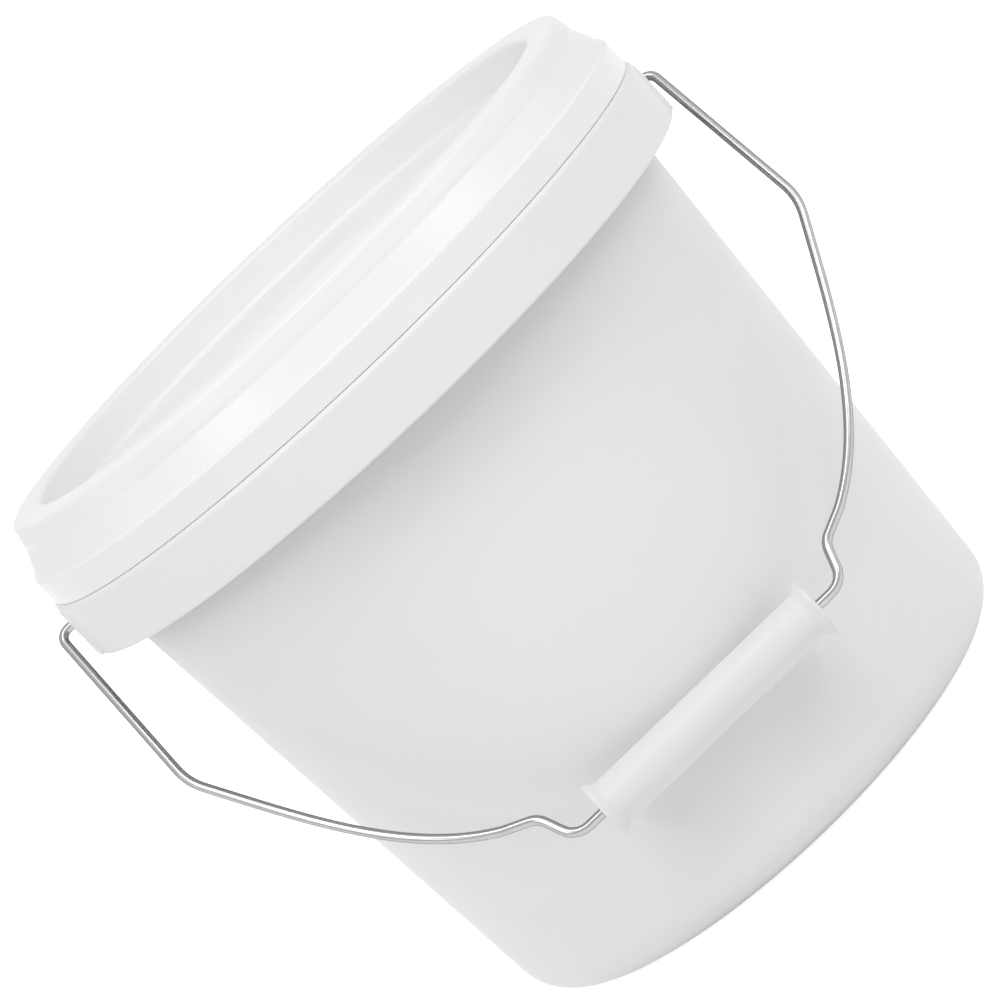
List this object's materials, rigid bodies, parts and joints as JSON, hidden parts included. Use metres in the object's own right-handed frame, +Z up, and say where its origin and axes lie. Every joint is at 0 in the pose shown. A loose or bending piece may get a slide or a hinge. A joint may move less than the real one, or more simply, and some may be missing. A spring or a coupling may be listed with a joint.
{
  "type": "paint bucket",
  "caption": "Round tapered plastic paint bucket with a recessed press-on lid, a wide rim collar, and a steel wire bail that carries a plastic tube grip.",
  "frame": {"origin": "centre of the pail's foot ring, on the surface it stands on", "axes": "+Z up along the pail's axis; +X to the right, through the two ears; the bail hangs in front, towards -Y"},
  "size_m": [0.2396, 0.226, 0.2088],
  "materials": {
    "pail_plastic": "satin white moulded polypropylene",
    "lid_plastic": "semi-gloss white moulded polypropylene",
    "bail_wire": "bright drawn galvanised wire",
    "grip_plastic": "satin white polypropylene tube"
  },
  "bodies": {
    "pail": {"pail": "pail_plastic"},
    "lid": {"lid": "lid_plastic"},
    "bail": {"bail": "bail_wire"},
    "grip": {"grip": "grip_plastic"}
  },
  "joints": [
    {"name": "bail_swing", "type": "hinge", "parent": "pail", "child": "bail", "pos_m": [0, 0, 0.1763], "axis": [-1, 0, 0], "range_deg": [0, 281.9]},
    {"name": "lid_lift", "type": "slide", "parent": "pail", "child": "lid", "axis": [0, 0, 1], "range_m": [0, 0.04]},
    {"name": "grip_spin", "type": "hinge", "parent": "bail", "child": "grip", "pos_m": [0, -0.10036, 0.05246], "axis": [1, 0, 0], "continuous": true}
  ]
}
